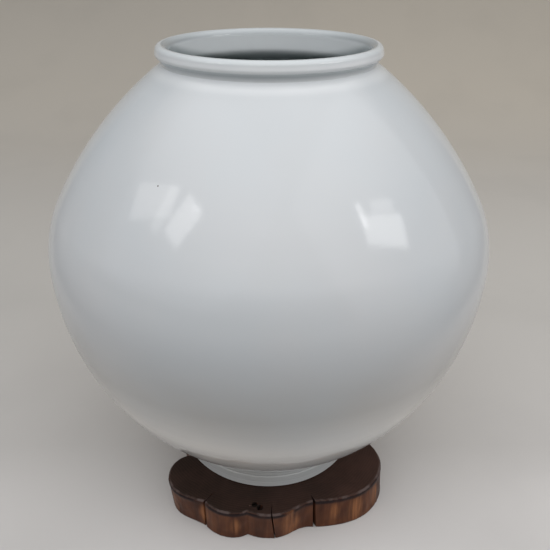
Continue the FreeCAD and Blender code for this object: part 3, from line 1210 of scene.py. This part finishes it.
class SmoothLine:
    """The smooth curve through a lobe's points, as the solid has it."""

    SWEEPS = 60

    def __init__(self, points: Sequence[Vector]) -> None:
        """Find the slopes that make the curve turn without a jump.

        Args:
            points: the points that it runs through, at least four.
        """
        self.points = points
        self.knots = [0.0]
        for last, point in zip(points, points[1:]):
            self.knots.append(self.knots[-1] + (point - last).length)
        first = self._end_slope(points[:4], self.knots[:4])
        last = self._end_slope(points[-4:][::-1], self.knots[-4:][::-1])
        gaps = [b - a for a, b in zip(self.knots, self.knots[1:])]
        slopes = [first] * (len(points) - 1) + [last]
        for _ in range(self.SWEEPS):
            for k in range(1, len(points) - 1):
                before, after = gaps[k - 1], gaps[k]
                pull = 3 * (
                    after / before * (points[k] - points[k - 1])
                    + before / after * (points[k + 1] - points[k])
                )
                slopes[k] = (pull - after * slopes[k - 1] - before * slopes[k + 1]) / (
                    2 * (before + after)
                )
        self.slopes = slopes

    @staticmethod
    def _end_slope(points: Sequence[Vector], knots: Sequence[float]) -> Vector:
        """Find the slope with which the curve through four points starts.

        Args:
            points: the four points.
            knots: how far along the chords each of them lies.

        Returns:
            The slope at the first point.
        """
        slope = points[0] * sum(1 / (knots[0] - knot) for knot in knots[1:])
        for k in range(1, len(points)):
            rest = [knot for j, knot in enumerate(knots) if j not in (0, k)]
            top = math.prod(knots[0] - knot for knot in rest)
            bottom = math.prod(knots[k] - knot for knot in [knots[0], *rest])
            slope = slope + points[k] * (top / bottom)
        return slope

    def steps(self, count: int) -> list[Vector]:
        """Return evenly spaced points along the curve, without its last one."""
        return [self._at(self.knots[-1] * step / count) for step in range(count)]

    def _at(self, along: float) -> Vector:
        """Find a point of the curve.

        Args:
            along: its distance along the curve's chords.

        Returns:
            The point.
        """
        k = max(j for j in range(len(self.knots) - 1) if self.knots[j] <= along)
        gap = self.knots[k + 1] - self.knots[k]
        t = (along - self.knots[k]) / gap
        return (
            self.points[k] * (2 * t**3 - 3 * t**2 + 1)
            + self.slopes[k] * (gap * (t**3 - 2 * t**2 + t))
            + self.points[k + 1] * (3 * t**2 - 2 * t**3)
            + self.slopes[k + 1] * (gap * (t**3 - t**2))
        )


@dataclass
class WoodenSlab(Piece):
    """The cross-cut of a lobed trunk, with worn edges and drying checks.

    The flutes' seed is how fast their noise runs per lobe, per step and per mm.
    """

    top_round: float = 3.0
    top_steps: int = 6
    bottom_round: float = 1.5
    bottom_steps: int = 3
    step_length: float = 1.7
    side_rows: int = 13
    flat_margin: float = 1.2
    mean_reach: float = 126.0
    flute_depth: float = 0.7
    flute_seed: Place = (7.3, 0.62, 0.012)
    lump_depth: float = 0.8
    lump_size: float = 11.0
    lump_fade: float = 2.2
    check_overrun: float = 4.0
    cut_margin: float = 1.0
    knot_raggedness: float = 0.25
    sharp_from: float = 35.0
    lobes: tuple[Lobe, ...] = (
        Lobe(4.0, ((-146.0, 3.0), (-149.3, 16.0), (-146.5, 31.0), (-134.4, 44.5), (-126.5, 41.5))),
        Lobe(0.5, ((-119.6, 36.5), (-113.5, 40.5), (-105.0, 39.0))),
        Lobe(2.5, ((-99.6, 33.5), (-92.0, 36.8), (-83.5, 35.6), (-76.5, 30.5))),
        Lobe(-2.5, ((-67.8, 27.5), (-60.5, 34.0), (-43.5, 46.8), (-24.4, 39.8), (-16.7, 24.8))),
        Lobe(1.5, ((-11.5, 9.0), (2.0, 21.0), (18.0, 25.0), (33.0, 19.0))),
        Lobe(-1.0, ((42.0, 8.0), (55.0, 19.0), (72.0, 24.0), (88.0, 17.0))),
        Lobe(2.0, ((98.0, 6.0), (112.0, 19.0), (128.0, 25.0), (144.0, 17.0))),
        Lobe(0.5, ((155.0, 6.0), (168.0, 8.0), (184.0, 3.0), (199.0, 1.5))),
    )
    checks: tuple[DryingCheck, ...] = (
        DryingCheck((-119.6, 36.5), 50.0, 17.0, 2.6, 0.5),
        DryingCheck((-88.6, 36.8), 91.0, 14.0, 1.6, 3.8),
        DryingCheck((-67.8, 27.5), 108.0, 10.0, 2.6, 1.0),
    )
    knots: tuple[LostKnot, ...] = (
        LostKnot(-14.5, -120.6, 5.2, 1.0, 3.5, 20.0),
        LostKnot(-8.5, -124.5, 4.0, 1.8, 5.0, 52.0),
        LostKnot(-22.0, -130.5, 1.6, 1.3, 4.0, 0.0),
    )
    NAME = "cross_cut_slab"
    NODE = "wooden_slab"
    BODY = Body.STAND
    SLOT = Slot.DARK_WOOD

    def past_foot(self, direction: float, distance: float) -> Vector:
        """Return a point of the plan, in millimetres."""
        angle = math.radians(direction)
        reach = self.sizes.foot_radius + distance
        return Vector((reach * math.cos(angle), reach * math.sin(angle), 0.0))

    def _backs(self, depth_share: float) -> list[list[Vector]]:
        """Return each lobe's points, in millimetres, at a share of the depth."""
        return [
            [self.past_foot(turn, reach - lobe.draws_in * depth_share) for turn, reach in lobe.back]
            for lobe in self.lobes
        ]

    def outline(self, height: float) -> list[Vector]:
        """Draw the trunk's outline at a height, with the flutes of its wood.

        Args:
            height: millimetres above the floor.

        Returns:
            Points in metres, in order round the slab.
        """
        backs = self._backs(1 - height / self.sizes.slab)
        top_backs = self._backs(0.0)
        per_lobe, per_step, per_height = self.flute_seed
        lift = Vector((0.0, 0.0, height * MM))
        points: list[Vector] = []
        for k, back in enumerate(backs):
            following = (k + 1) % len(backs)
            chords = [*top_backs[k], top_backs[following][0]]
            length = sum((b - a).length for a, b in zip(chords, chords[1:]))
            count = round(length / self.step_length)
            line = SmoothLine([*back, backs[following][0]]).steps(count)
            for step, point in enumerate(line):
                calm = math.sin(math.pi * step / count)
                seed = Vector((k * per_lobe, step * per_step, height * per_height))
                flute = (noise.noise(seed) * 0.5 + 0.5) * self.flute_depth * calm
                points.append((point - point.normalized() * flute) * MM + lift)
        return points

    def build(self) -> bpy.types.Object:
        """Draw the trunk, wear its edges and open its checks."""
        piece = self._trunk()
        self._wear_edges(piece)
        self._raise_lumps(piece)
        for k, check in enumerate(self.checks):
            self._carve(piece, self._wedge(f"check_{k}", check))
        for k, knot in enumerate(self.knots):
            self._carve(piece, self._plug(f"knot_{k}", knot))
        bpy.ops.object.mode_set(mode="EDIT")
        Bench.close_doubles()
        Bench.turn_faces()
        Bench.smooth(piece, self.sharp_from)
        return piece

    def _trunk(self) -> bpy.types.Object:
        """Bridge the slab's lower outline to its upper one."""
        low = self.outline(self.bottom_round)
        high = self.outline(self.sizes.slab - self.top_round)
        piece = Bench.draw(self.NAME, [*low, low[0]])
        bpy.ops.mesh.duplicate()
        bpy.ops.object.mode_set(mode="OBJECT")
        raised = [vertex for vertex in piece.data.vertices if vertex.select]
        for vertex, point in zip(raised, high):
            vertex.co = point
        bpy.ops.object.mode_set(mode="EDIT")
        bpy.ops.mesh.select_mode(type="EDGE")
        bpy.ops.mesh.select_all(action="SELECT")
        bpy.ops.mesh.bridge_edge_loops(number_cuts=self.side_rows, interpolation="LINEAR")
        return piece

    def _wear_edges(self, piece: bpy.types.Object) -> None:
        """Close both ends and round their edges in a few steps.

        Args:
            piece: the open trunk, in edit mode.
        """
        top = self.sizes.slab - self.top_round
        for height, radius, steps, way in (
            (self.bottom_round, self.bottom_round, self.bottom_steps, -1.0),
            (top, self.top_round, self.top_steps, 1.0),
        ):
            Bench.pick_loop(piece, height * MM)
            bpy.ops.mesh.edge_face_add()
            bpy.ops.mesh.select_mode(type="FACE")
            for step in range(steps):
                here = math.pi / 2 * step / steps
                there = math.pi / 2 * (step + 1) / steps
                self._raise_end(
                    way * radius * (math.sin(there) - math.sin(here)),
                    radius * (math.cos(here) - math.cos(there)),
                )
            self._raise_end(0.0, self.flat_margin)
        Bench.turn_faces()

    def _raise_end(self, rise: float, inset: float) -> None:
        """Extrude the selected end face and draw it in towards the axis."""
        Bench.extrude((0.0, 0.0, rise * MM))
        share = 1 - inset / self.mean_reach
        bpy.ops.transform.resize(value=(share, share, 1.0), center_override=(0, 0, 0))

    def _raise_lumps(self, piece: bpy.types.Object) -> None:
        """Press slow hollows into the sides, which leaves the lumps between.

        Args:
            piece: the closed trunk.
        """
        sides = piece.vertex_groups.new(name="sides")
        for vertex in piece.data.vertices:
            middle = 1 - abs(vertex.co.z / MM / self.sizes.slab * 2 - 1)
            sides.add([vertex.index], min(1.0, middle * self.lump_fade), "REPLACE")
        clouds = bpy.data.textures.new("side_lumps", "CLOUDS")
        clouds.noise_scale = self.lump_size * MM
        clouds.noise_depth = 2
        lumps = piece.modifiers.new("lumps", "DISPLACE")
        lumps.texture = clouds
        lumps.texture_coords = "LOCAL"
        lumps.vertex_group = sides.name
        lumps.mid_level = 1.0
        lumps.strength = self.lump_depth * MM
        Bench.apply(piece)

    def _wedge(self, name: str, check: DryingCheck) -> bpy.types.Object:
        """Model the wedge of air that a check leaves.

        Args:
            name: the wedge's name.
            check: the check.

        Returns:
            The wedge, standing through the slab.
        """
        thickness = self.sizes.slab
        runs = math.radians(check.runs)
        inward = Vector((math.cos(runs), math.sin(runs), 0.0))
        across = Vector((-inward.y, inward.x, 0.0))
        mouth = self.past_foot(*check.mouth)
        half_width = check.width / 2 * (check.depth + self.check_overrun) / check.depth
        outer = mouth - inward * self.check_overrun
        corners = [
            outer + across * half_width,
            mouth + inward * check.depth,
            outer - across * half_width,
        ]
        low, high = -self.cut_margin, thickness + self.cut_margin
        lean = across * (-check.lean / thickness)
        foot = lean * (thickness - low)
        base = Vector((0.0, 0.0, low * MM))
        start = [(corner + foot) * MM + base for corner in corners]
        piece = Bench.draw(name, [*start, start[0]])
        bpy.ops.mesh.edge_face_add()
        Bench.extrude((lean * (low - high)) * MM + Vector((0.0, 0.0, (high - low) * MM)))
        Bench.turn_faces()
        return piece

    def _plug(self, name: str, knot: LostKnot) -> bpy.types.Object:
        """Model the ragged plug of air that a lost knot leaves.

        Args:
            name: the plug's name.
            knot: the knot.

        Returns:
            The plug, half sunk into the top.
        """
        Bench.clear()
        bpy.ops.mesh.primitive_uv_sphere_add(
            segments=28, ring_count=14, radius=MM, location=(0, 0, 0)
        )
        piece = bpy.context.object
        piece.name = name
        bpy.ops.object.mode_set(mode="EDIT")
        bpy.ops.mesh.select_all(action="SELECT")
        bpy.ops.transform.resize(value=(knot.half_length, knot.half_width, knot.depth))
        bpy.ops.transform.rotate(
            value=-math.radians(knot.turn), orient_axis="Z", center_override=(0, 0, 0)
        )
        bpy.ops.transform.vertex_random(offset=self.knot_raggedness * MM, seed=3)
        bpy.ops.transform.translate(value=mm(knot.x, knot.y, self.sizes.slab))
        bpy.ops.object.mode_set(mode="OBJECT")
        return piece

    @staticmethod
    def _carve(piece: bpy.types.Object, tool: bpy.types.Object) -> None:
        """Cut a shape out of the slab and put the tool away.

        Args:
            piece: the slab.
            tool: the shape to cut out of it.
        """
        cut = piece.modifiers.new("cut", "BOOLEAN")
        cut.operation = "DIFFERENCE"
        cut.solver = "MANIFOLD"
        cut.object = tool
        Bench.apply(piece)
        bpy.data.objects.remove(tool)


# ---- the studio ---------------------------------------------------------------


@dataclass(frozen=True)
class Softbox:
    """One soft lamp of the studio, in metres, watts and degrees."""

    name: str
    place: Place
    width: float
    height: float
    power: float
    colour: Colour = (1.0, 1.0, 1.0)
    roll: float = 0.0

    def hang(self, target: Vector) -> None:
        """Hang the lamp.

        Args:
            target: the point that it looks at.
        """
        lamp = bpy.data.lights.new(self.name, "AREA")
        lamp.shape = "RECTANGLE"
        lamp.size = self.width
        lamp.size_y = self.height
        lamp.energy = self.power
        lamp.color = self.colour
        holder = bpy.data.objects.new(self.name, lamp)
        bpy.context.scene.collection.objects.link(holder)
        holder.location = self.place
        turn = (target - holder.location).to_track_quat("-Z", "Y")
        roll = Quaternion((0.0, 0.0, 1.0), math.radians(self.roll))
        holder.rotation_euler = (turn @ roll).to_euler()


@dataclass
class Studio:
    """Paper sweep, lamps, sky light and the camera at the photograph's angle."""

    camera_place: Place = (-0.004, -0.5436, 0.5429)
    camera_tilt: float = 60.888
    lens: float = 39.27
    film_width: float = 36.0
    shift: float = 0.0193
    sight: Span = (0.01, 50.0)
    sweep_half_width: float = 4.0
    sweep_near: float = -3.0
    sweep_bend: float = 1.2
    sweep_radius: float = 0.9
    sweep_steps: int = 24
    sweep_height: float = 3.0
    sharp_from: float = 30.0
    horizon_light: float = 0.01
    zenith_light: float = 1.41
    sky_aim: Place = (0.0, -0.18, 0.983)
    sky_edge: Span = (0.3, 1.0)
    sky_colour: Colour = (1.0, 1.0, 1.0)
    lamp_target: Place = (0.0, 0.0, 0.28)
    lamps: tuple[Softbox, ...] = (
        Softbox("left_glow", (-1.307, -0.995, 1.697), 3.0, 3.0, 5.5, (0.91, 0.98, 1.10)),
        Softbox("left_pane", (-1.665, -0.475, 1.545), 0.82, 0.36, 1.2, roll=33.0),
        Softbox("left_mullion", (-1.564, -0.694, 1.603), 0.20, 0.56, 0.38, roll=3.0),
        Softbox("left_casement", (-1.343, -1.03, 1.638), 0.36, 0.54, 1.5, roll=-15.0),
        Softbox("left_gleam", (-1.166, -1.029, 1.795), 0.15, 0.08, 0.08, roll=25.0),
        Softbox("right_glow", (1.745, -0.65, 1.37), 3.0, 3.0, 9.6, (0.97, 0.99, 1.04)),
        Softbox("right_pane", (1.699, -0.762, 1.373), 0.78, 0.34, 2.4, roll=-27.0),
        Softbox("right_casement", (1.656, -0.555, 1.54), 0.42, 0.14, 0.30, roll=-29.0),
        Softbox("right_gleam", (1.423, -0.913, 1.634), 0.085, 0.27, 0.32, roll=-9.5),
    )

    def build(self, paper: bpy.types.Material) -> None:
        """Set up the whole studio.

        Args:
            paper: the finish of the sweep.
        """
        self._sweep(paper)
        for lamp in self.lamps:
            lamp.hang(Vector(self.lamp_target))
        self._sky()
        self._camera()

    def _sweep(self, paper: bpy.types.Material) -> None:
        """Lay the floor and bend it up behind the jar.

        Args:
            paper: the finish of the sweep.
        """
        lowest = -math.pi / 2
        bend = Round((self.sweep_bend, self.sweep_radius), self.sweep_radius, lowest, 0.0)
        curve = [bend.point(lowest * (1 - share)) for share in shares(self.sweep_steps)]
        line = [(self.sweep_near, 0.0), *curve, (curve[-1][0], self.sweep_height)]
        points = [Vector((-self.sweep_half_width, y, z)) for y, z in line]
        piece = Bench.draw("paper_sweep", points)
        Bench.extrude((2 * self.sweep_half_width, 0.0, 0.0))
        Bench.turn_faces(inwards=True)
        Bench.smooth(piece, self.sharp_from)
        piece.data.materials.append(paper)

    def _sky(self) -> None:
        """Light the room softly from above and a little from the front."""
        shader = Shader(bpy.data.worlds.new("room"))
        way = shader.node("ShaderNodeTexCoord", {}, {}).outputs["Generated"]
        towards = shader.vector_math("DOT_PRODUCT", way, self.sky_aim)
        glow = Level(shader, towards.outputs["Value"]).rise(*self.sky_edge)
        strength = glow * self.zenith_light + self.horizon_light
        bpy.context.scene.world = shader.shine(strength, self.sky_colour)

    def _camera(self) -> None:
        """Stand the camera where the photograph was taken from."""
        lens = bpy.data.cameras.new("camera")
        lens.lens = self.lens
        lens.sensor_width = self.film_width
        lens.shift_x = self.shift
        lens.clip_start, lens.clip_end = self.sight
        camera = bpy.data.objects.new("camera", lens)
        bpy.context.scene.collection.objects.link(camera)
        camera.location = self.camera_place
        camera.rotation_euler = Euler((math.radians(self.camera_tilt), 0.0, 0.0))
        bpy.context.scene.camera = camera


# ---- putting it together --------------------------------------------------------


@dataclass
class MoonJarOnSlab:
    """The whole object: a jar of five pieces that stands loose on its slab."""

    sizes: SharedSizes = field(default_factory=SharedSizes)
    glaze: PorcelainGlaze = field(default_factory=PorcelainGlaze)
    wood: DarkWood = field(default_factory=DarkWood)
    kinds: tuple[type[Piece], ...] = (
        WoodenSlab, FootRing, LowerBowl, BellySeam, UpperBowl, MouthRim
    )

    def build(self) -> None:
        """Make every piece, dress it and put it on its body."""
        finishes = {
            Slot.WHITE_GLAZE: self.glaze.material(),
            Slot.DARK_WOOD: self.wood.material(),
        }
        for kind in self.kinds:
            maker = kind(self.sizes)
            piece = maker.build()
            maker.dress(piece, finishes[maker.SLOT])
            faces = len(piece.data.polygons)
            log.info("%s: %d faces, rides on %s", piece.name, faces, maker.BODY.value)


def main() -> None:
    """Build the object and its studio."""
    logging.basicConfig(level=logging.INFO, format="%(message)s")
    bpy.context.scene.view_settings.view_transform = "Standard"
    MoonJarOnSlab().build()
    Studio().build(StudioPaper().material())


if __name__ == "__main__":
    main()
